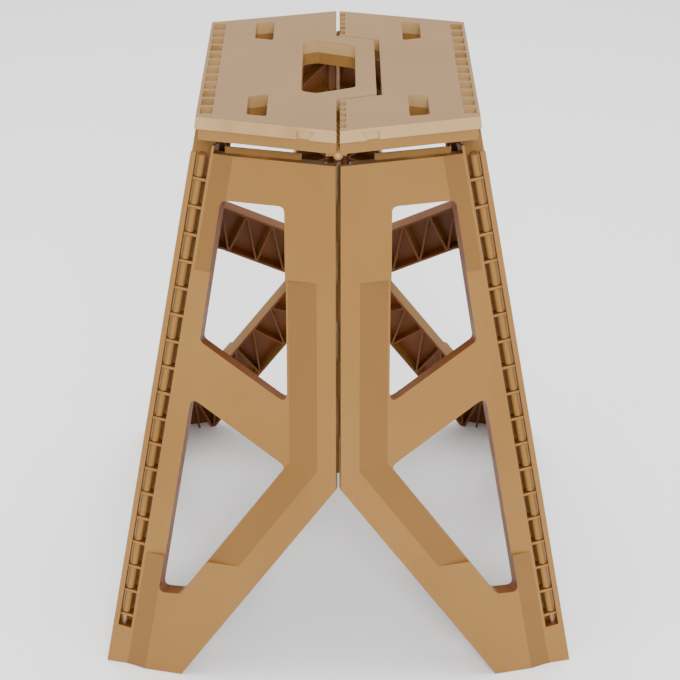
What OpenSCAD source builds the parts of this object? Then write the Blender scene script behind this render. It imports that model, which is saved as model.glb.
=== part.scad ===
/* [Seat] */
// Height of the seat's top face above the floor (mm)
seat_height = 450; // [300:5:600]
// Half width of the seat, centre hinge to outer edge (mm)
seat_half_width = 104.5; // [80:0.5:140]
// Half length of each straight side edge (mm)
side_half_length = 99.5; // [80:0.5:140]
// Half length of the seat along its centre hinge (mm)
centre_half_length = 126.5; // [100:0.5:170]
// Depth of the seat from its top face to its lower edge (mm)
seat_depth = 19; // [15:0.5:24]
// Thickness of the seat's top plate (mm)
top_plate = 3; // [2:0.1:4]
// Height of the raised upper rim band (mm)
rim_height = 9.5; // [6:0.5:12]
// How far the rim band flares out at its lower edge (mm)
rim_flare = 1.4; // [0.4:0.1:2]
// Gap between the two seat halves (mm)
seat_gap = 2.6; // [1.6:0.2:4]

/* [Handle] */
// Half length of the hand hole (mm)
hand_half_length = 55.4; // [45:0.1:60]
// Reach of the handle loop past the centre hinge (mm)
loop_reach = 29; // [24:0.5:36]
// Width of the handle's grip bar (mm)
grip_width = 15.4; // [12:0.2:20]
// Gap round the handle loop in the other half (mm)
loop_gap = 2.2; // [1:0.1:4]

/* [Hinges] */
// Height of the side hinge axis above the centre hinge axis (mm)
axis_lift = 10; // [8:0.5:12]
// Distance of the side hinge axis from the centre plane (mm)
side_axis_x = 97; // [75:0.5:130]
// Radius of the corner pins (mm)
corner_pin_r = 2.2; // [1.6:0.1:2.6]
// Radius of the seat and side pins (mm)
seat_pin_r = 1.9; // [1.5:0.1:2.2]
// Radius of the fold pins (mm)
fold_pin_r = 2; // [1.6:0.1:2.4]
// Running clearance between a pin and the part that turns on it (mm)
run_gap = 0.05; // [0.02:0.01:0.1]
// Number of cells down each corner hinge
corner_cells = 18; // [10:1:22]
// Number of cells along each side hinge
side_cells = 12; // [8:1:14]
// Number of cells at each end of the centre hinge
centre_cells = 5; // [3:1:6]
// Number of knuckles down each fold hinge
fold_knuckles = 8; // [4:2:12]

/* [Panels] */
// Outward lean of the side panels (degrees)
side_lean = 10.87; // [6:0.1:16]
// Corner axis distance from mid length at the side hinge height (mm)
corner_y = 83; // [70:0.5:92]
// Growth of that distance per mm down the side panel
corner_rake = 0.1964; // [0.1:0.005:0.26]
// How far each end panel turns from square to make the V (mm per mm)
v_slope = 0.23; // [0.12:0.01:0.32]
// Thickness of the panels' face plates (mm)
plate = 3; // [2:0.1:4]
// Thickness of the ribs (mm)
rib = 1.8; // [1.4:0.1:2.6]
// Thickness of the edge walls (mm)
wall = 2.2; // [1.6:0.1:3]
// Height of the top edge of the end panels (mm)
end_top = 418; // [400:1:420]
// how far the set-back rail stands above the end panels' top edge
rail_rise = 5; // [2:0.5:6]
// Height of the lower end of the fold (mm)
fold_bottom = 172; // [120:1:220]
// How far the fold strip stands above the face (mm)
strip_rise = 3.2; // [1:0.1:4]
// Half width of the raised strip at the fold (mm)
strip_half = 15.5; // [12:0.5:22]
// Width of the foot of each end panel (mm)
foot_width = 62; // [45:1:75]

/* [Hidden] */
$fn = 48;
big = 900;
plastic = [0.66, 0.51, 0.31];
steel = [0.62, 0.62, 0.64];

// heights
seat_low = seat_height - seat_depth;
centre_axis_z = seat_low - 2;
side_axis_z = centre_axis_z + axis_lift;
hold_gap = 0.02;

// vectors
function unit(v) = v / norm(v);
function euler(x, y, z) = [atan2(y[2], z[2]), -asin(x[2]), atan2(x[1], x[0])];
function mixp(a, b, t) = a + (b - a) * t;

// the right side panel's plane: it holds the side hinge axis and both corner axes
side_n = [cos(side_lean), 0, sin(side_lean)];
side_up = [-sin(side_lean), 0, cos(side_lean)];
side_slant = side_axis_z / cos(side_lean);
corner_foot = [side_axis_x + side_slant * sin(side_lean), -(corner_y + corner_rake * side_slant), 0];
corner_up = unit([side_axis_x, -corner_y, side_axis_z] - corner_foot);

// the front right panel's plane, parallel to its corner axis
tilt = (-v_slope * corner_up[0] + corner_up[1]) / corner_up[2];
end_n = unit([v_slope, -1, tilt]);
end_x = cross(corner_up, end_n);
end_angles = euler(end_x, corner_up, end_n);
face = 6;
fold_in = 7;
face_point = corner_foot + face * end_n;
face_y0 = (face_point * end_n) / end_n[1];
function on_face(x, z) = [x, (face_point * end_n - end_n[0] * x - end_n[2] * z) / end_n[1], z];
function flat(x, z) = [(on_face(x, z) - corner_foot) * end_x, (on_face(x, z) - corner_foot) * corner_up];
fold_y0 = ((corner_foot - fold_in * end_n) * end_n) / end_n[1];
fold_tilt = atan(tilt);

// corner hinge
lip_out = 7.5;
lip_in = 3.2;
slot_in = 7.8;
lip_depth = 5.5;
web = 2;
barrel_r = 3.65;
sweep_r = 10.2;
foot_x = on_face(0, 0)[0] + corner_foot[0] + lip_out;
slot_low = 31 / corner_up[2];
slot_high = end_top / corner_up[2];
cell = (slot_high - slot_low - 10) / corner_cells;

// rounded corners for a closed outline
function corner_arc(a, p, b, r) = let (
    u = unit(a - p), v = unit(b - p), half = acos(u * v) / 2,
    d = min(r / tan(half), norm(a - p) / 2.2, norm(b - p) / 2.2), s = p + u * d, e = p + v * d)
    [for (i = [0:4]) let (t = i / 4) (1 - t) * (1 - t) * s + 2 * t * (1 - t) * p + t * t * e];
function rounded(pts, r) = [for (i = [0:len(pts) - 1])
    each corner_arc(pts[(i + len(pts) - 1) % len(pts)], pts[i], pts[(i + 1) % len(pts)], r)];

// a straight rib in plan between two points
module bar(a, b, t) {
    translate(a) rotate(atan2(b[1] - a[1], b[0] - a[0])) translate([0, -t / 2]) square([norm(b - a), t]);
}
// edge walls just inside (side = 0) or outside (side = -1) a counter-clockwise outline; they cross the
// outline a little, so the shape that they are cut to sets their outer face
wall_over = 1;
module edge_walls(pts, t, side = 0) {
    for (i = [0:len(pts) - 1]) {
        a = pts[i];
        b = pts[(i + 1) % len(pts)];
        translate(a) rotate(atan2(b[1] - a[1], b[0] - a[0]))
            translate([-t * 0.7, side == 0 ? -wall_over : -t]) square([norm(b - a) + t * 1.4, t + wall_over]);
    }
}
// zigzag of ribs between two edges
module zigzag(a0, a1, b0, b1, n, t) {
    for (i = [0:n - 1]) {
        bar(mixp(a0, a1, i / n), mixp(b0, b1, (i + 0.5) / n), t);
        bar(mixp(b0, b1, (i + 0.5) / n), mixp(a0, a1, (i + 1) / n), t);
    }
}
module above_floor() {
    intersection() {
        children();
        translate([-big / 2, -big / 2, 0]) cube([big, big, big]);
    }
}

// ---------------------------------------------------------------- end panels
fold_gap = 1.3;
fold_clear = 11;
rail_back = 3.2;
upper_window = [flat(39.4, end_top - 33), flat(39.4, fold_bottom + 62),
    flat(106.5, fold_bottom + 103.5), flat(87.5, end_top - 33)];
lower_window = [flat(40.8, fold_bottom + 12.2), flat(126.2, 68.4), flat(144.3, 67.4), flat(114.5, fold_bottom + 58.5)];
foot_inner = flat(corner_foot[0] + lip_out - foot_width, 0);
foot_outer_y = flat(corner_foot[0] + lip_out, 0)[1] - 4;
end_outline = [flat(fold_gap, end_top), flat(fold_gap, fold_bottom), foot_inner,
    foot_inner + [0, -12], [lip_out, foot_outer_y - 12], [lip_out, flat(corner_foot[0] - 74, end_top)[1]]];

module end_shape() {
    difference() {
        polygon(end_outline);
        polygon(rounded(upper_window, 5));
        polygon(rounded(lower_window, 5));
    }
}
module end_ribs() {
    top = end_top - 2;
    leg_in = slot_in + 3;
    intersection() {
        end_shape();
        polygon([flat(fold_clear, end_top), flat(fold_clear, fold_bottom - 12), foot_inner + [0, -12],
            [lip_out, foot_outer_y - 12], [lip_out, slot_low], [-slot_in, slot_low + 1],
            [-slot_in, slot_high + 8]]);
        union() {
            edge_walls(end_outline, wall);
            edge_walls(rounded(upper_window, 5), wall, -1);
            edge_walls(rounded(lower_window, 5), wall, -1);
            // fold leg, top band, corner leg, brace and V leg
            zigzag(flat(fold_clear, end_top - 30), flat(fold_clear, fold_bottom + 40), flat(38, end_top - 33), flat(38, fold_bottom + 62), 5, rib);
            zigzag(flat(fold_clear, top), flat(98, top), flat(30, end_top - 33), flat(98, end_top - 33), 3, rib);
            zigzag([-leg_in, slot_high - 26], [-leg_in, slot_low + 40], flat(87.5, end_top - 33), flat(144.3, 67.4), 9, rib);
            zigzag(flat(39.4, fold_bottom + 62), flat(106.5, fold_bottom + 103.5),
                flat(40.8, fold_bottom + 12.2), flat(114.5, fold_bottom + 58.5), 3, rib);
            zigzag(flat(6, fold_bottom - 4), foot_inner, flat(40.8, fold_bottom + 12.2), flat(126.2, 68.4), 5, rib);
            zigzag(foot_inner, foot_inner + [0, -1], flat(140, 67), flat(160, 67), 1, rib);
            bar(flat(126.2, 68.4), flat(180, 2), rib);
            bar(flat(144.3, 67.4), flat(140, 1), rib);
        }
    }
}
// all that lies above a plane that falls from the ridge a-b to the face over the given width
sink = 0.5;
module above_fall(a, b, width) {
    translate([a[0], a[1], face + strip_rise]) rotate([0, 0, atan2(b[1] - a[1], b[0] - a[0]) - 90])
        rotate([0, atan(strip_rise / width), 0]) translate([-80, -400, 0]) cube([400, 900, 60]);
}
// strip along the top, the fold, the V leg and the foot, falling to the windows with mitred corners
module end_raise() {
    ridge_top = flat(strip_half, end_top + 6);
    ridge_bend = flat(strip_half, fold_bottom + 13);
    ridge_tip = flat(136.7, 18.6);
    difference() {
        translate([0, 0, face - sink]) linear_extrude(height = strip_rise + sink) end_shape();
        intersection() {
            above_fall(ridge_bend, ridge_top, 23);
            above_fall(ridge_tip, ridge_bend, 21);
            union() {
                intersection() {
                    above_fall(flat(0, end_top - 6), flat(90, end_top - 6), 27);
                    above_fall(flat(180, 18.6), flat(100, 18.6), 48);
                }
                // level with the face again before the corner hinge
                above_fall([-26, 0], [-26, 100], 16);
            }
        }
    }
}
// rail behind the face, closing most of the slit under the seat's rim
module end_rail() {
    translate([0, 0, -rail_back]) linear_extrude(height = wall)
        polygon([flat(29, end_top - 1.5), flat(86, end_top - 1.5), flat(86, end_top + rail_rise),
            flat(29, end_top + rail_rise)]);
}
module web_section(pin_r) {
    difference() {
        translate([-slot_in - 2, -lip_depth]) square([slot_in + 2 + lip_out, lip_depth + face - 1.6]);
        circle(r = pin_r);
    }
}
module end_panel_local() {
    // plate with its slot for the barrels
    difference() {
        union() {
            translate([0, 0, face - plate]) linear_extrude(height = plate) end_shape();
            end_raise();
        }
        translate([-slot_in, slot_low, -20]) cube([slot_in + lip_in, slot_high, 60]);
    }
    // ribs and edge walls
    translate([0, 0, -face]) linear_extrude(height = 2 * face - plate + 0.5) end_ribs();
    end_rail();
    // wall beside the slot
    translate([-slot_in - 2, slot_low - 2, -lip_depth - 2]) cube([2, slot_high - slot_low + 8, lip_depth + face + 2]);
    // webs, the last one closing the slot
    for (i = [0:corner_cells - 1]) translate([0, slot_low + 10 + i * cell, 0])
        rotate([90, 0, 0]) mirror([0, 0, 1]) translate([0, 0, -web / 2]) linear_extrude(height = web)
            web_section(corner_pin_r + hold_gap);
    translate([-slot_in - 2, slot_low - 2, -lip_depth]) cube([slot_in + 2 + lip_out, 2, lip_depth + face]);
}
module to_end() {
    translate(corner_foot) rotate(end_angles) children();
}
module to_fold() {
    translate([0, fold_y0, 0]) rotate([-fold_tilt, 0, 0]) children();
}
fold_low = (fold_bottom + 6) / cos(fold_tilt);
fold_high = (end_top - 3) / cos(fold_tilt);
fold_pitch = (fold_high - fold_low) / fold_knuckles;
fold_drop = face + fold_in - plate + 1;
hook_mouth = [4, 84];

// full ring knuckle on the right-hand panels
module fold_ring() {
    difference() {
        union() {
            circle(r = 4.6);
            rotate(atan(v_slope)) translate([0.6, -fold_drop]) square([7, fold_drop]);
            rotate(atan(v_slope)) translate([0, -4.6]) square([7, 4.6]);
        }
        circle(r = fold_pin_r + hold_gap);
    }
}
// open hook knuckle on the left-hand panels, drawn on the left
module fold_hook() {
    difference() {
        union() {
            circle(r = 4.6);
            rotate(-atan(v_slope)) translate([-7.6, -fold_drop]) square([7, fold_drop]);
            rotate(-atan(v_slope)) translate([-7.6, -4.6]) square([7.6, 4.6]);
        }
        circle(r = fold_pin_r + 0.35);
        // open from the panel's own plane round to the inside, so that the pin can leave either way
        for (a = hook_mouth) rotate(a) translate([0, -20]) square([20, 40]);
    }
}
module fold_knuckle_set(first) {
    to_fold() for (i = [first:2:fold_knuckles - 1])
        translate([0, 0, fold_low + i * fold_pitch + 0.4]) linear_extrude(height = fold_pitch - 0.8)
            if (first == 0) fold_ring(); else fold_hook();
}
module end_panel_right() {
    above_floor() union() {
        to_end() end_panel_local();
        fold_knuckle_set(0);
    }
}
module end_panel_left() {
    above_floor() union() {
        mirror([1, 0, 0]) to_end() end_panel_local();
        fold_knuckle_set(1);
    }
}
module front_right() { color(plastic) end_panel_right(); }
module front_left() { color(plastic) end_panel_left(); }
module rear_right() { color(plastic) mirror([0, 1, 0]) end_panel_right(); }
module rear_left() { color(plastic) mirror([0, 1, 0]) end_panel_left(); }

// --------------------------------------------------------------- side panels
side_face = 8;
side_inner = 9;
neck_top = 14.5;
side_low = -side_slant - 6;
function edge_y(q) = corner_y - corner_rake * q - sweep_r / cos(atan(corner_rake));
side_outline = [[-edge_y(-neck_top), -neck_top], [-edge_y(side_low), side_low],
    [-edge_y(side_low) + 44, side_low], [0, -side_slant + fold_bottom],
    [edge_y(side_low) - 44, side_low], [edge_y(side_low), side_low], [edge_y(-neck_top), -neck_top]];
function side_pt(y, z) = [y, (z - side_axis_z) / cos(side_lean)];
side_upper = [side_pt(17, end_top - 36), side_pt(17, fold_bottom + 66), side_pt(edge_y(-180) - 21, fold_bottom + 104),
    side_pt(edge_y(-60) - 20, end_top - 36)];
side_lower = [side_pt(20, fold_bottom + 18), side_pt(edge_y(-385) - 40, 68), side_pt(edge_y(-385) - 19, 68),
    side_pt(edge_y(-230) - 20, fold_bottom + 56)];

module side_shape() {
    difference() {
        polygon(side_outline);
        for (m = [0, 1]) mirror([m, 0]) {
            polygon(rounded(side_upper, 5));
            polygon(rounded(side_lower, 5));
        }
    }
}
module side_ribs() {
    intersection() {
        side_shape();
        union() {
            edge_walls(side_outline, wall);
            for (m = [0, 1]) mirror([m, 0]) {
                edge_walls(rounded(side_upper, 5), wall, -1);
                edge_walls(rounded(side_lower, 5), wall, -1);
                zigzag([0, -neck_top], [edge_y(-neck_top) - 4, -neck_top], side_upper[0], side_upper[3], 3, rib);
                zigzag([0, -60], [0, side_pt(0, fold_bottom + 60)[1]], side_upper[0], side_upper[1], 4, rib);
                zigzag([edge_y(-52), -52], [edge_y(-390), -390], side_upper[3], side_lower[2], 9, rib);
                zigzag(side_upper[1], side_upper[2], side_lower[0], side_lower[3], 3, rib);
                zigzag(side_pt(4, fold_bottom - 4), side_pt(edge_y(-side_slant) - 44, 4), side_lower[0], side_lower[1], 5, rib);
                bar(side_lower[1], side_pt(edge_y(-side_slant) - 8, 0), rib);
                bar(side_lower[2], side_pt(edge_y(-side_slant) - 34, 0), rib);
            }
        }
    }
}
side_pitch = (2 * side_half_length - 7.6) / side_cells;
side_web = 3;
side_run = side_pitch * side_cells;
knuckle_r = 3.7;

// ring and neck that reach up into the seat's slots, drawn in the panel's cross-section
module side_knuckle() {
    difference() {
        union() {
            circle(r = knuckle_r);
            translate([-2, -neck_top - 1]) square([4, neck_top + 1]);
        }
        circle(r = seat_pin_r + run_gap);
    }
}
module corner_arm() {
    difference() {
        union() {
            circle(r = barrel_r);
            translate([0, -2.1]) square([sweep_r + 2, 4.2]);
        }
        circle(r = corner_pin_r + run_gap);
    }
}
arm_x = unit(cross(corner_up, side_n)) * (cross(corner_up, side_n)[1] > 0 ? 1 : -1);
arm_angles = euler(arm_x, cross(corner_up, arm_x), corner_up);
module corner_arms() {
    translate(corner_foot) rotate(arm_angles) for (i = [0:corner_cells - 1])
        translate([0, 0, slot_low + 10 + i * cell + web / 2 + 0.5])
            linear_extrude(height = (i == corner_cells - 1 ? cell - web - 3 : cell - web - 1)) corner_arm();
}
module side_panel_right() {
    above_floor() union() {
        translate([side_axis_x, 0, side_axis_z]) rotate([90 - side_lean, 0, 90]) {
            translate([0, 0, side_face - plate]) linear_extrude(height = plate) side_shape();
            translate([0, 0, -side_inner]) linear_extrude(height = side_inner + side_face - plate + 0.5) side_ribs();
            for (m = [0, 1]) mirror([m, 0, 0]) intersection() {
                translate([0, side_low, -2.1]) cube([edge_y(side_low), -side_low - neck_top, 4.2]);
                linear_extrude(height = 20, center = true) polygon([[edge_y(-neck_top) - 5, -neck_top],
                    [edge_y(side_low) - 5, side_low], [edge_y(side_low), side_low], [edge_y(-neck_top), -neck_top]]);
            }
            translate([-edge_y(-neck_top), -neck_top - wall, -side_inner])
                cube([2 * edge_y(-neck_top), wall, side_inner + side_face]);
        }
        for (i = [0:side_cells - 1])
            if (abs(-side_run / 2 + (i + 0.5) * side_pitch) + side_pitch / 2 < edge_y(-neck_top) + side_pitch)
            translate([side_axis_x, -side_run / 2 + i * side_pitch + side_web / 2 + 0.4, side_axis_z])
                rotate([90, -side_lean, 0]) mirror([0, 0, 1])
                    linear_extrude(height = side_pitch - side_web - 0.8) side_knuckle();
        for (m = [0, 1]) mirror([0, m, 0]) corner_arms();
    }
}
module side_right() { color(plastic) side_panel_right(); }
module side_left() { color(plastic) mirror([1, 0, 0]) side_panel_right(); }

// ---------------------------------------------------------------- seat halves
half_gap = seat_gap / 2;
slot_x0 = side_axis_x - 4.4;
slot_x1 = side_axis_x + 5;
centre_zone = [hand_half_length + 15, centre_half_length - 4.6];
centre_pitch = (centre_zone[1] - centre_zone[0]) / centre_cells;
centre_web = 2.2;
// outline of a half seat grown by g
function half_outline(g) = [[half_gap, -centre_half_length - g], [seat_half_width + g, -side_half_length - g * 0.9],
    [seat_half_width + g, side_half_length + g * 0.9], [half_gap, centre_half_length + g]];
loop_half = hand_half_length + 11.6;
loop_outline = [[-4, loop_half + 1], [0, loop_half], [loop_reach, loop_half - 9.4],
    [loop_reach, -loop_half + 9.4], [0, -loop_half], [-4, -loop_half - 1]];
recess_outline = [[-4, loop_half + loop_gap + 1], [0, loop_half + loop_gap], [loop_reach + 4.2, loop_half - 10.4 + loop_gap],
    [loop_reach + 4.2, -loop_half + 10.4 - loop_gap], [0, -loop_half - loop_gap], [-4, -loop_half - loop_gap - 1]];
grip_in = loop_reach - grip_width;
hand_hole = [[-28, hand_half_length - 4.4], [-28, 4.4 - hand_half_length], [-16.5, -hand_half_length],
    [grip_in, 12.1 - hand_half_length], [grip_in, hand_half_length - 12.1], [-16.5, hand_half_length]];
// trapezoid windows, wider towards the hinge
function window(s) = [[52.5, s * 57.5], [67.5, s * 62], [67.5, s * 96], [52.5, s * 99.5]];

module seat_windows() {
    for (s = [-1, 1]) polygon(rounded(window(s), 2));
}
module side_slots() {
    for (i = [0:side_cells - 1]) translate([slot_x0, -side_run / 2 + i * side_pitch + side_web / 2])
        square([slot_x1 - slot_x0, side_pitch - side_web]);
}
// flared rim: the upper band leans outwards towards its lower edge
module rim_body() {
    lean = atan(rim_flare / rim_height);
    edge_turn = atan2(centre_half_length - side_half_length, seat_half_width);
    difference() {
        translate([0, 0, seat_height - rim_height]) linear_extrude(height = rim_height) polygon(half_outline(rim_flare));
        translate([seat_half_width, -big / 2, seat_height]) rotate([0, -lean, 0]) cube([20, big, 20]);
        translate([seat_half_width, -big / 2, seat_height]) rotate([0, -lean, 0]) translate([0, 0, -20]) cube([20, big, 20.1]);
        for (m = [0, 1]) mirror([0, m, 0]) translate([0, centre_half_length, seat_height])
            rotate([0, 0, -edge_turn]) rotate([lean, 0, 0]) translate([-20, 0, -20]) cube([big / 2, 20, 40]);
    }
}
module seat_shape_right() {
    difference() {
        polygon(half_outline(0));
        seat_windows();
        polygon(recess_outline);
    }
}
module seat_shape_left() {
    difference() {
        union() {
            mirror([1, 0]) polygon(half_outline(0));
            polygon(loop_outline);
        }
        mirror([1, 0]) seat_windows();
        polygon(rounded(hand_hole, 6));
    }
}
// ribs shared by both halves, drawn on the right
module seat_grid() {
    for (x = [22.5, 45, 75]) bar([x, -140], [x, 140], rib);
    for (s = [-1, 1]) {
        for (y = [0, 30, 55]) bar([0, s * y], [slot_x0, s * y], rib);
        zigzag([45, s * 52], [slot_x0, s * 52], [45, s * 12], [slot_x0, s * 12], 2, rib);
        zigzag([8, s * 116], [45, s * 108], [8, s * 74], [45, s * 64], 2, rib);
        bar([75, s * 56], [slot_x0, s * 102], rib);
        bar([slot_x0, s * 56], [75, s * 104], rib);
        bar([45, s * 72], [52, s * 72], rib);
    }
    for (s = [-1, 1]) edge_walls(s > 0 ? window(1) : [for (i = [3:-1:0]) window(-1)[i]], wall, -1);
}
module seat_core(left) {
    // top plate
    difference() {
        union() {
            translate([0, 0, seat_height - top_plate]) linear_extrude(height = top_plate)
                if (left) mirror([1, 0]) seat_shape_left(); else seat_shape_right();
            intersection() {
                rim_body();
                difference() {
                    translate([0, 0, seat_low]) linear_extrude(height = seat_depth) polygon(half_outline(4));
                    translate([0, 0, seat_low - 1]) linear_extrude(height = seat_depth - 2) polygon(half_outline(-wall));
                    if (left) translate([-5, -hand_half_length - 8, seat_low - 1]) cube([5.2, 1, 1]);
                    translate([half_gap - 1, -centre_half_length + 4, seat_low]) cube([30, 2 * centre_half_length - 8, seat_depth - top_plate]);
                }
            }
        }
        translate([0, 0, seat_low - 1]) linear_extrude(height = seat_depth + 2) {
            side_slots();
            seat_windows();
            if (!left) polygon(recess_outline);
            if (left) mirror([1, 0]) polygon(rounded(hand_hole, 6));
        }
    }
    // walls and ribs underneath
    difference() {
        translate([0, 0, seat_low]) linear_extrude(height = seat_depth - 1) difference() {
            intersection() {
                if (left) mirror([1, 0]) seat_shape_left(); else seat_shape_right();
                union() {
                    edge_walls(half_outline(-1), wall);
                    seat_grid();
                    translate([slot_x0 - wall, -side_half_length]) square([wall, 2 * side_half_length]);
                    if (left) mirror([1, 0]) {
                        edge_walls(rounded(hand_hole, 6), wall, -1);
                        edge_walls([for (i = [5:-1:0]) loop_outline[i]], wall);
                        zigzag([grip_in, -hand_half_length + 12], [grip_in, hand_half_length - 12],
                            [loop_reach, -hand_half_length + 10], [loop_reach, hand_half_length - 10], 5, rib);
                    }
                    if (!left) edge_walls([for (i = [5:-1:0]) recess_outline[i]], wall, -1);
                }
            }
            side_slots();
            difference() {
                polygon(half_outline(4));
                polygon(half_outline(-1));
                translate([-60, -200]) square([60 + half_gap, 400]);
            }
        }
        // room for the side panels' necks to swing out under the rim
        for (i = [0:side_cells - 1]) translate([side_axis_x, -side_run / 2 + i * side_pitch + side_web / 2, seat_low - 1])
            cube([20, side_pitch - side_web, side_axis_z - seat_low + 4.2]);
    }
    // webs of the side hinge
    for (i = [0:side_cells]) {
        y0 = -side_run / 2 + i * side_pitch - side_web / 2;
        translate([0, y0 + side_web, 0]) rotate([90, 0, 0]) linear_extrude(height = side_web) difference() {
            translate([slot_x0 - 1, seat_low]) square([seat_half_width - wall / 2 - slot_x0, seat_depth - 1]);
            translate([side_axis_x, side_axis_z]) circle(r = seat_pin_r + hold_gap);
        }
    }
}
// the side necks swing through the rim band at the cells
module neck_windows() {
    for (i = [0:side_cells - 1]) translate([side_axis_x, -side_run / 2 + i * side_pitch + side_web / 2, seat_low - 5])
        cube([20, side_pitch - side_web, side_axis_z - seat_low + 5 + 3.2]);
}
module centre_cells_cut() {
    for (m = [0, 1]) mirror([0, m, 0]) for (i = [0:centre_cells - 1])
        translate([-2, centre_zone[0] + i * centre_pitch + centre_web / 2, seat_low - 5])
            cube([7.8, centre_pitch - centre_web, seat_depth + 10]);
}
module centre_webs() {
    for (m = [0, 1]) mirror([0, m, 0]) for (i = [0:centre_cells])
        translate([0, centre_zone[0] + i * centre_pitch + centre_web / 2, 0]) rotate([90, 0, 0])
            linear_extrude(height = centre_web) difference() {
                union() {
                    translate([0, centre_axis_z]) circle(r = 3.5);
                    translate([0, centre_axis_z]) square([6.4, seat_low - centre_axis_z + 3]);
                    translate([half_gap, seat_low]) square([6.4 - half_gap, seat_depth - 1]);
                }
                translate([0, centre_axis_z]) circle(r = seat_pin_r + hold_gap);
            }
}
// knuckles of the left half, drawn on the right side of its mirrored core
module centre_knuckles() {
    for (m = [0, 1]) mirror([0, m, 0]) for (i = [0:centre_cells - 1])
        translate([0, centre_zone[0] + (i + 1) * centre_pitch - centre_web / 2 - 0.4, 0]) rotate([90, 0, 0])
            linear_extrude(height = centre_pitch - centre_web - 0.8) difference() {
                union() {
                    translate([0, centre_axis_z]) circle(r = 3.5);
                    translate([0, centre_axis_z - 1.6]) square([9, seat_low - centre_axis_z + 5]);
                }
                translate([0, centre_axis_z]) circle(r = seat_pin_r + run_gap);
            }
}
module axis_relief() {
    for (m = [0, 1]) mirror([0, m, 0])
        translate([0, centre_zone[0] - 2, centre_axis_z]) rotate([-90, 0, 0]) cylinder(r = 4.2, h = 60);
}
module seat_right() {
    color(plastic) difference() {
        union() {
            difference() {
                seat_core(false);
                centre_cells_cut();
            }
            centre_webs();
        }
        neck_windows();
    }
}
module seat_left() {
    color(plastic) mirror([1, 0, 0]) union() {
        difference() {
            seat_core(true);
            axis_relief();
            neck_windows();
        }
        centre_knuckles();
    }
}

// ----------------------------------------------------------------------- pins
module seat_pin() {
    translate([0, centre_zone[0] - centre_web / 2, centre_axis_z]) rotate([-90, 0, 0])
        cylinder(r = seat_pin_r, h = centre_zone[1] - centre_zone[0] + centre_web);
}
module pin_seat_rear() { color(steel) seat_pin(); }
module pin_seat_front() { color(steel) mirror([0, 1, 0]) seat_pin(); }
module side_pin() {
    translate([side_axis_x, -side_run / 2 - side_web / 2, side_axis_z]) rotate([-90, 0, 0])
        cylinder(r = seat_pin_r, h = side_run + side_web);
}
module pin_side_right() { color(steel) side_pin(); }
module pin_side_left() { color(steel) mirror([1, 0, 0]) side_pin(); }
module corner_pin() {
    translate(corner_foot) rotate(arm_angles) translate([0, 0, slot_low])
        cylinder(r = corner_pin_r, h = slot_high - slot_low - 6);
}
module pin_corner_fr() { color(steel) corner_pin(); }
module pin_corner_fl() { color(steel) mirror([1, 0, 0]) corner_pin(); }
module pin_corner_rr() { color(steel) mirror([0, 1, 0]) corner_pin(); }
module pin_corner_rl() { color(steel) mirror([1, 0, 0]) mirror([0, 1, 0]) corner_pin(); }
module fold_pin() {
    to_fold() translate([0, 0, fold_low]) cylinder(r = fold_pin_r, h = fold_high - fold_low);
}
module pin_fold_front() { color(steel) fold_pin(); }
module pin_fold_rear() { color(steel) mirror([0, 1, 0]) fold_pin(); }

seat_left();
seat_right();
side_left();
side_right();
front_left();
front_right();
rear_left();
rear_right();
pin_seat_front();
pin_seat_rear();
pin_side_left();
pin_side_right();
pin_corner_fl();
pin_corner_fr();
pin_corner_rl();
pin_corner_rr();
pin_fold_front();
pin_fold_rear();
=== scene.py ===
"""Folding step stool in moulded tan plastic, dressed on its CAD frame."""
import math

import bmesh
import bpy
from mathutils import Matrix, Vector


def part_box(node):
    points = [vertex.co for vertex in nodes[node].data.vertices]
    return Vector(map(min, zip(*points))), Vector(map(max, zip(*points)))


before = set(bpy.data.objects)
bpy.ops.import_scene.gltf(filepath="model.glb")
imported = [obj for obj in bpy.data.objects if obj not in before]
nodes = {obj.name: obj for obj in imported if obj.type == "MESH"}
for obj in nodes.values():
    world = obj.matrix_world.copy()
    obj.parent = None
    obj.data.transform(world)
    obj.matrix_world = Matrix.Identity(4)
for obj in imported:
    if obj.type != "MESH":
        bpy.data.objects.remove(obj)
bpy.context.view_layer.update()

# ---------------------------------------------------------------------- nodes
SEATS = ["seat_left", "seat_right"]
PANELS = ["side_left", "side_right", "front_left", "front_right", "rear_left", "rear_right"]
PINS = sorted(name for name in nodes if name.startswith("pin_"))

# ------------------------------------------------------------------ sizes (m)
RIM_HEIGHT = 0.0095
SEAT_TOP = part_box("seat_left")[1][2]
RIM_LOW = SEAT_TOP - RIM_HEIGHT
EDGE_RADIUS = 0.00045
WELD_DISTANCE = 0.00001
FLAT_AREA = 0.00006  # a flat patch above this keeps its creases (m2)
FLOOR_SIZE = 14.0
FLOOR_DROP = 0.0005

# -------------------------------------------------------------- angles (rad)
SHARP_ANGLE = math.radians(30)
CREASE_ANGLE = math.radians(3)
BEVEL_ANGLE = math.radians(35)
DISSOLVE_ANGLE = math.radians(1.0)
FLAT_ANGLE = 0.01
OPEN_EDGE = 9.0  # stands for the angle at an edge with one face

# ------------------------------------------------- where a material changes
# cosines and share for the painted shade on faces that fall away from a panel's main face
FALL_COSINES = (0.9965, 0.992)  # turned from its panel's main face: none, all
OUTER_COSINES = (0.93, 0.96)
# reach of the painted shade on faces turned toward the stool's centre line
INWARD_REACH = (0.004, 0.05)
FALL_SHADE_SHARE = 0.75

# ----------------------------------------------------------- camera and lights
CAMERA_PLACE = (-0.0005, -1.2986, 0.9566)
CAMERA_DOWN = 30.14  # degrees below level
CAMERA_TURN = -0.09
LENS_MM = 93.35
SENSOR_MM = 36.0
LIGHT_AIM = (0.0, 0.0, 0.22)
SKY_STRENGTH = 1.05
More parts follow.
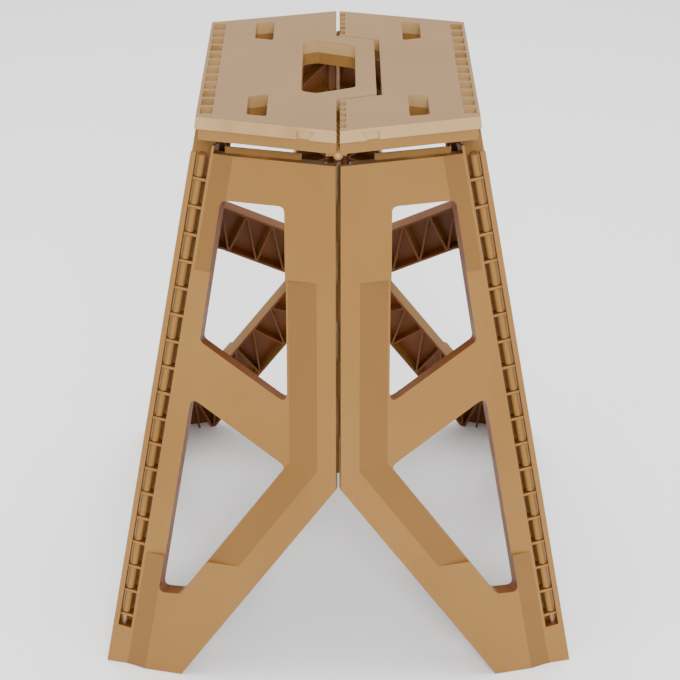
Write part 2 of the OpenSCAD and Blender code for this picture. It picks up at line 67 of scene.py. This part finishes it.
# name, place, width, height, watts
LIGHTS = [("key", (0.2, -2.4, 1.7), 1.0, 0.9, 62.0),
          ("fill_left", (-2.0, -1.0, 1.3), 1.0, 1.4, 11.0),
          ("fill_right", (2.0, -0.9, 1.1), 1.0, 1.4, 8.0),
          ("top", (0.0, 0.5, 2.3), 1.6, 1.6, 60.0)]

# ---------------------------------------------------------- colours (linear)
TAN = (0.245, 0.118, 0.024)
TAN_DEEP = (0.215, 0.10, 0.018)
TAN_PALE = (0.285, 0.148, 0.038)
# painted shade on faces that fall away from a panel's main face
TAN_FALL_SHADE = (0.175, 0.078, 0.013)
TOP_TAN = (0.195, 0.112, 0.046)
TOP_PALE = (0.22, 0.13, 0.058)
# painted highlight along the seat's rim band
RIM_HIGHLIGHT = (0.44, 0.29, 0.135)
# wear on rubbed streaks and edges; on the rounded edges also a painted highlight
WORN_AND_HIGHLIT = (0.37, 0.215, 0.075)
# painted shade for faces turned inward or downward
INNER_SHADE = (0.17, 0.050, 0.007)
INNER_SHADE_DEEP = (0.11, 0.030, 0.004)
PIN_DARK = (0.30, 0.17, 0.09)
PIN_PALE = (0.42, 0.26, 0.15)
FLOOR_WHITE = (0.93, 0.93, 0.93)


# ------------------------------------------------------------- node helpers
class Graph:
    """A few short calls for building one material's nodes."""

    def __init__(self, name):
        self.material = bpy.data.materials.new(name)
        self.material.use_nodes = True
        self.tree = self.material.node_tree
        self.shader = self.tree.nodes["Principled BSDF"]
        coords = self.tree.nodes.new("ShaderNodeTexCoord")
        self.place = coords.outputs["Object"]
        self.normal = coords.outputs["Normal"]

    def link(self, source, target):
        self.tree.links.new(source, target)

    def scaled(self, factors):
        """Object coordinates, stretched by a factor along each axis."""
        node = self.tree.nodes.new("ShaderNodeMapping")
        node.inputs["Scale"].default_value = factors
        self.link(self.place, node.inputs["Vector"])
        return node.outputs["Vector"]

    def noise(self, scale, detail=3.0, rough=0.5, vector=None, twist=0.0):
        node = self.tree.nodes.new("ShaderNodeTexNoise")
        node.inputs["Scale"].default_value = scale
        node.inputs["Detail"].default_value = detail
        node.inputs["Roughness"].default_value = rough
        node.inputs["Distortion"].default_value = twist
        self.link(vector or self.place, node.inputs["Vector"])
        return node.outputs["Fac"]

    def ramp(self, value, low, high, out_low=0.0, out_high=1.0):
        node = self.tree.nodes.new("ShaderNodeMapRange")
        node.clamp = True
        for socket, number in zip(("From Min", "From Max", "To Min", "To Max"),
                                  (low, high, out_low, out_high)):
            node.inputs[socket].default_value = number
        self.link(value, node.inputs["Value"])
        return node.outputs["Result"]

    def sum_of(self, first, second, kind="ADD"):
        node = self.tree.nodes.new("ShaderNodeMath")
        node.operation = kind
        for socket, value in zip(node.inputs, (first, second)):
            if isinstance(value, (int, float)):
                socket.default_value = value
            else:
                self.link(value, socket)
        return node.outputs["Value"]

    def times(self, first, second):
        return self.sum_of(first, second, "MULTIPLY")

    def less(self, first, second):
        return self.sum_of(first, second, "SUBTRACT")

    def blend(self, factor, first, second):
        """Mix of two colours, each a colour tuple or a socket."""
        node = self.tree.nodes.new("ShaderNodeMix")
        node.data_type = "RGBA"
        colours = [s for s in node.inputs if s.type == "RGBA"]
        for socket, value in zip(colours, (first, second)):
            if isinstance(value, tuple):
                socket.default_value = (*value, 1.0)
            else:
                self.link(value, socket)
        self.link(factor, node.inputs["Factor"])
        return next(s for s in node.outputs if s.type == "RGBA")

    def inward(self):
        """How much a surface looks at the stool's upright centre line, in metres."""
        flat = self.tree.nodes.new("ShaderNodeVectorMath")
        flat.operation = "MULTIPLY"
        flat.inputs[1].default_value = (-1.0, -1.0, 0.0)
        self.link(self.place, flat.inputs[0])
        dot = self.tree.nodes.new("ShaderNodeVectorMath")
        dot.operation = "DOT_PRODUCT"
        self.link(flat.outputs["Vector"], dot.inputs[0])
        self.link(self.normal, dot.inputs[1])
        return dot.outputs["Value"]

    def along(self, vector, direction):
        """Dot product of a vector with a fixed direction."""
        node = self.tree.nodes.new("ShaderNodeVectorMath")
        node.operation = "DOT_PRODUCT"
        node.inputs[1].default_value = direction
        self.link(vector, node.inputs[0])
        return node.outputs["Value"]

    def split(self, vector):
        node = self.tree.nodes.new("ShaderNodeSeparateXYZ")
        self.link(vector, node.inputs["Vector"])
        return node.outputs

    def bump(self, height, distance, strength=1.0, base=None):
        node = self.tree.nodes.new("ShaderNodeBump")
        node.inputs["Distance"].default_value = distance
        node.inputs["Strength"].default_value = strength
        self.link(height, node.inputs["Height"])
        if base is not None:
            self.link(base, node.inputs["Normal"])
        return node.outputs["Normal"]


# ---------------------------------------------------------------- materials
def plastic_base(graph):
    """Colour, roughness and bump that every moulded panel shares."""
    cloud = graph.ramp(graph.noise(7.0, 4.0, 0.55), 0.3, 0.7)
    drawn_out = graph.scaled((3.0, 3.0, 0.5))
    flow = graph.ramp(graph.noise(5.0, 3.0, 0.6, drawn_out, 0.6), 0.35, 0.7)
    speck = graph.ramp(graph.noise(260.0, 2.0), 0.3, 0.75)
    colour = graph.blend(cloud, TAN_DEEP, TAN)
    colour = graph.blend(graph.times(flow, 0.35), colour, TAN_PALE)
    colour = graph.blend(graph.times(speck, 0.10), colour, TAN_PALE)
    # fine rubbed scratches, in short streaks
    streak = graph.noise(46.0, 6.0, 0.7, graph.scaled((1.0, 1.0, 14.0)), 1.2)
    handled = graph.ramp(graph.noise(16.0), 0.5, 0.68)
    rubbed = graph.times(graph.ramp(streak, 0.60, 0.72), handled)
    colour = graph.blend(graph.times(rubbed, 0.30), colour, WORN_AND_HIGHLIT)
    gloss = graph.ramp(graph.noise(22.0, 5.0, 0.6), 0.3, 0.7, 0.36, 0.47)
    gloss = graph.sum_of(gloss, graph.times(rubbed, 0.12))
    grain = graph.noise(1500.0, 2.0)
    waves = graph.noise(30.0, 2.0)
    normal = graph.bump(grain, 0.00004, 0.55)
    normal = graph.bump(waves, 0.0005, 0.25, normal)
    return colour, gloss, normal


def painted_inner_shade(graph):
    # painted shade: a dark patchy brown for faces inside the stool and under the seat
    patches = graph.ramp(graph.noise(9.0, 4.0, 0.6), 0.3, 0.7)
    return graph.blend(patches, INNER_SHADE_DEEP, INNER_SHADE)


def finish_plastic(graph, colour, gloss, normal):
    shader = graph.shader
    graph.link(colour, shader.inputs["Base Color"])
    graph.link(gloss, shader.inputs["Roughness"])
    graph.link(normal, shader.inputs["Normal"])
    shader.inputs["IOR"].default_value = 1.49
    shader.inputs["Specular IOR Level"].default_value = 0.32
    shader.inputs["Subsurface Weight"].default_value = 0.06
    shader.inputs["Subsurface Radius"].default_value = (1.0, 0.45, 0.18)
    shader.inputs["Subsurface Scale"].default_value = 0.0015
    return graph.material


def panel_plastic(name, facing):
    """Tan outside, duller where a face falls away, which is painted shade; deeper and redder
    inside, which is painted shade too.
    """
    graph = Graph("moulded_plastic_" + name)
    colour, gloss, normal = plastic_base(graph)
    turned = graph.along(graph.normal, facing)
    # painted shade: faces turned a little from the panel's main face get a darker tan
    fall_shade = graph.times(graph.ramp(turned, *FALL_COSINES), graph.ramp(turned, *OUTER_COSINES))
    colour = graph.blend(graph.times(fall_shade, FALL_SHADE_SHARE), colour, TAN_FALL_SHADE)
    # painted shade on faces turned toward the stool's centre line
    colour = graph.blend(graph.ramp(graph.inward(), *INWARD_REACH), colour, painted_inner_shade(graph))
    return finish_plastic(graph, colour, gloss, normal)


def seat_zones(graph):
    """Masks for the seat's top face, its rim band and its underside."""
    height = graph.split(graph.place)["Z"]
    facing = graph.split(graph.normal)["Z"]
    on_top = graph.times(graph.ramp(facing, 0.9, 0.97),
                         graph.ramp(height, SEAT_TOP - 0.0006, SEAT_TOP - 0.0003))
    in_band = graph.times(graph.ramp(height, RIM_LOW - 0.0001, RIM_LOW + 0.0001),
                          graph.ramp(height, SEAT_TOP - 0.0002, SEAT_TOP - 0.0004))
    on_rim = graph.times(in_band, graph.ramp(facing, 0.6, 0.3))
    # mask for the painted shade on the seat's underside
    painted_shade_below = graph.times(graph.ramp(facing, -0.5, -0.9), 0.9)
    return on_top, on_rim, painted_shade_below


def seat_plastic():
    """Panel plastic, with a dull textured top face, a polished rim band carrying a painted
    highlight, and painted shade on the underside.
    """
    graph = Graph("moulded_plastic_seat")
    colour, gloss, normal = plastic_base(graph)
    on_top, on_rim, painted_shade_below = seat_zones(graph)
    mottle = graph.ramp(graph.noise(11.0, 5.0, 0.6), 0.3, 0.7)
    fleck = graph.times(graph.ramp(graph.noise(700.0, 2.0), 0.45, 0.7), 0.16)
    top_colour = graph.blend(fleck, graph.blend(mottle, TOP_TAN, TOP_PALE), TOP_PALE)
    colour = graph.blend(on_top, colour, top_colour)
    # painted shade on the seat's underside
    colour = graph.blend(painted_shade_below, colour, painted_inner_shade(graph))
    # sink marks: faint upright bands along the rim, bumped, and paler in colour as painted
    # highlight stripes
    sink = graph.noise(15.0, 1.5, 0.5, graph.scaled((1.6, 1.6, 0.05)))
    # painted highlight: paler stripes on the rim band
    painted_rim_highlight = graph.times(on_rim, graph.ramp(sink, 0.38, 0.55, 0.45, 0.85))
    colour = graph.blend(painted_rim_highlight, colour, RIM_HIGHLIGHT)
    gloss = graph.sum_of(gloss, graph.times(on_top, 0.20))
    gloss = graph.less(gloss, graph.times(on_rim, 0.16))
    pebble = graph.times(graph.noise(620.0, 3.0), on_top)
    normal = graph.bump(pebble, 0.00012, 0.6, normal)
    normal = graph.bump(graph.times(sink, on_rim), 0.0008, 0.5, normal)
    return finish_plastic(graph, colour, gloss, normal)


def edge_plastic():
    """The rounded edges: paler and smoother, partly as wear where hands and floors rub and
    partly as a painted highlight.
    """
    graph = Graph("moulded_plastic_edge")
    # partly wear, partly painted highlight: the bevel faces are paler than the panels
    wear_and_highlight = graph.ramp(graph.noise(60.0, 5.0, 0.65), 0.35, 0.72)
    colour = graph.blend(wear_and_highlight, TAN, WORN_AND_HIGHLIT)
    gloss = graph.ramp(graph.noise(90.0, 3.0), 0.3, 0.7, 0.30, 0.42)
    normal = graph.bump(graph.noise(900.0, 2.0), 0.00004, 0.4)
    return finish_plastic(graph, colour, gloss, normal)


def pin_metal():
    """Drawn wire, dulled and browned."""
    graph = Graph("hinge_pin_wire")
    rings = graph.noise(140.0, 3.0, 0.5, graph.scaled((1.0, 1.0, 6.0)))
    stain = graph.ramp(graph.noise(55.0, 4.0, 0.6), 0.35, 0.7)
    graph.link(graph.blend(stain, PIN_DARK, PIN_PALE), graph.shader.inputs["Base Color"])
    graph.link(graph.ramp(rings, 0.3, 0.7, 0.32, 0.5), graph.shader.inputs["Roughness"])
    graph.link(graph.bump(rings, 0.00005, 0.5), graph.shader.inputs["Normal"])
    graph.shader.inputs["Metallic"].default_value = 0.75
    return graph.material


# ------------------------------------------------------------------- shaping
def rounded_edges(obj, edge_slot):
    """Small moulded radii on the CAD node's sharp edges."""
    weld = obj.modifiers.new("weld", "WELD")
    weld.merge_threshold = WELD_DISTANCE
    flat = obj.modifiers.new("flat", "DECIMATE")
    flat.decimate_type = "DISSOLVE"
    flat.angle_limit = DISSOLVE_ANGLE
    bevel = obj.modifiers.new("bevel", "BEVEL")
    bevel.width = EDGE_RADIUS
    bevel.segments = 2
    bevel.limit_method = "ANGLE"
    bevel.angle_limit = BEVEL_ANGLE
    bevel.use_clamp_overlap = True
    bevel.harden_normals = True
    bevel.material = edge_slot


def dress(names, material, edge=None):
    """Gives CAD nodes a material and, on moulded parts, rounded edges that are worn and carry a
    painted highlight.
    """
    for name in names:
        obj = nodes[name]
        obj.data.materials.clear()
        obj.data.materials.append(material)
        if edge is not None:
            obj.data.materials.append(edge)
            rounded_edges(obj, 1)


def plane_areas(bm):
    """For each face, the area of the flat patch that it belongs to."""
    areas = [0.0] * len(bm.faces)
    seen = set()
    for first in bm.faces:
        if first.index in seen:
            continue
        seen.add(first.index)
        patch, stack = [], [first]
        while stack:
            face = stack.pop()
            patch.append(face)
            for edge in face.edges:
                if len(edge.link_faces) != 2 or edge.calc_face_angle(OPEN_EDGE) > FLAT_ANGLE:
                    continue
                for other in edge.link_faces:
                    if other.index not in seen:
                        seen.add(other.index)
                        stack.append(other)
        total = sum(face.calc_area() for face in patch)
        for face in patch:
            areas[face.index] = total
    return areas


def is_sharp(edge, areas):
    angle = edge.calc_face_angle(0.0) if len(edge.link_faces) == 2 else OPEN_EDGE
    large = max((areas[face.index] for face in edge.link_faces), default=0.0) > FLAT_AREA
    return angle > SHARP_ANGLE or (large and angle > CREASE_ANGLE)


def shade_edges(obj):
    """Smooth rounds, with crisp creases wherever a large flat ends.

    Returns the way the widest outward flat looks."""
    stored = obj.data.attributes.get("custom_normal")
    if stored is not None:
        obj.data.attributes.remove(stored)
    bm = bmesh.new()
    bm.from_mesh(obj.data)
    areas = plane_areas(bm)

    def outward_area(face):
        return areas[face.index] * (face.normal.dot(face.calc_center_median()) > 0)

    sharp = [is_sharp(edge, areas) for edge in bm.edges]
    facing = tuple(max(bm.faces, key=outward_area).normal)
    bm.free()
    obj.data.polygons.foreach_set("use_smooth", [True] * len(obj.data.polygons))
    obj.data.edges.foreach_set("use_edge_sharp", sharp)
    return facing


# --------------------------------------------------------------------- stage
def make_floor():
    bpy.ops.mesh.primitive_plane_add(size=FLOOR_SIZE, location=(0.0, 0.0, -FLOOR_DROP))
    floor = bpy.context.object
    floor.name = "floor"
    graph = Graph("floor_white")
    graph.shader.inputs["Base Color"].default_value = (*FLOOR_WHITE, 1.0)
    graph.shader.inputs["Roughness"].default_value = 0.9
    floor.data.materials.append(graph.material)


def area_light(name, place, width, height, watts):
    data = bpy.data.lights.new(name, "AREA")
    data.shape = "RECTANGLE"
    data.size = width
    data.size_y = height
    data.energy = watts
    lamp = bpy.data.objects.new(name, data)
    lamp.location = place
    lamp.rotation_euler = (Vector(LIGHT_AIM) - Vector(place)).to_track_quat("-Z", "Y").to_euler()
    bpy.context.scene.collection.objects.link(lamp)


def make_lights():
    for row in LIGHTS:
        area_light(*row)
    world = bpy.data.worlds.new("studio")
    world.use_nodes = True
    sky = world.node_tree.nodes["Background"]
    sky.inputs["Color"].default_value = (1.0, 1.0, 1.0, 1.0)
    sky.inputs["Strength"].default_value = SKY_STRENGTH
    bpy.context.scene.world = world


def make_camera():
    data = bpy.data.cameras.new("camera")
    data.sensor_width = SENSOR_MM
    data.lens = LENS_MM
    data.clip_end = 50.0
    camera = bpy.data.objects.new("camera", data)
    camera.location = CAMERA_PLACE
    camera.rotation_euler = (math.radians(90.0 - CAMERA_DOWN), 0.0, math.radians(CAMERA_TURN))
    bpy.context.scene.collection.objects.link(camera)
    bpy.context.scene.camera = camera


# ---------------------------------------------------------------------- build
make_camera()
worn_highlit_edge = edge_plastic()
for name in SEATS:
    shade_edges(nodes[name])
dress(SEATS, seat_plastic(), worn_highlit_edge)
for name in PANELS:
    dress([name], panel_plastic(name, shade_edges(nodes[name])), worn_highlit_edge)
dress(PINS, pin_metal())
make_floor()
make_lights()
